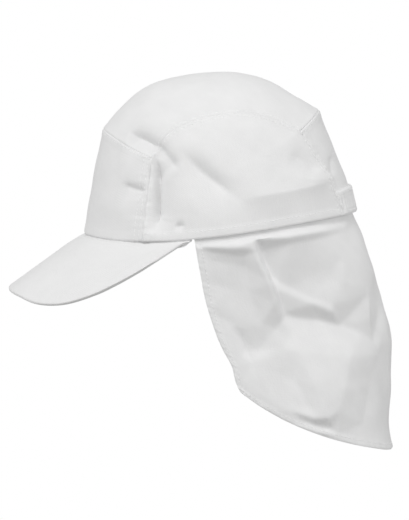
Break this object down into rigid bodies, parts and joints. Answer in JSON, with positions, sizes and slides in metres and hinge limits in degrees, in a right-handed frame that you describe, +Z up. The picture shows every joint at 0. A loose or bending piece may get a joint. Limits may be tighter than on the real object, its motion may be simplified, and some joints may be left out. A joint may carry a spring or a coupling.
{
  "type": "legionnaire cap",
  "caption": "Soft cotton cap with a panelled crown, a curved peak in front and a long flap that hangs from the rim over the neck.",
  "frame": {"origin": "centre of the head opening, in the plane of the crown's rim at its front and back", "axes": "+X to the wearer's left, -Y forwards to the peak, +Z up through the crown"},
  "size_m": [0.1667, 0.2804, 0.2894],
  "materials": {
    "crown_drill": "matte white cotton drill",
    "band_casing": "matte white cotton drill, gathered on elastic",
    "peak_cover": "matte white cotton drill, smooth over board",
    "flap_drill": "matte white cotton drill, soft"
  },
  "bodies": {
    "root": {"front_panel": "crown_drill", "top_panel": "crown_drill", "back_panel": "crown_drill", "side_panel_left": "crown_drill", "side_panel_right": "crown_drill", "back_band": "band_casing", "peak": "peak_cover", "neck_flap": "flap_drill"}
  },
  "joints": []
}
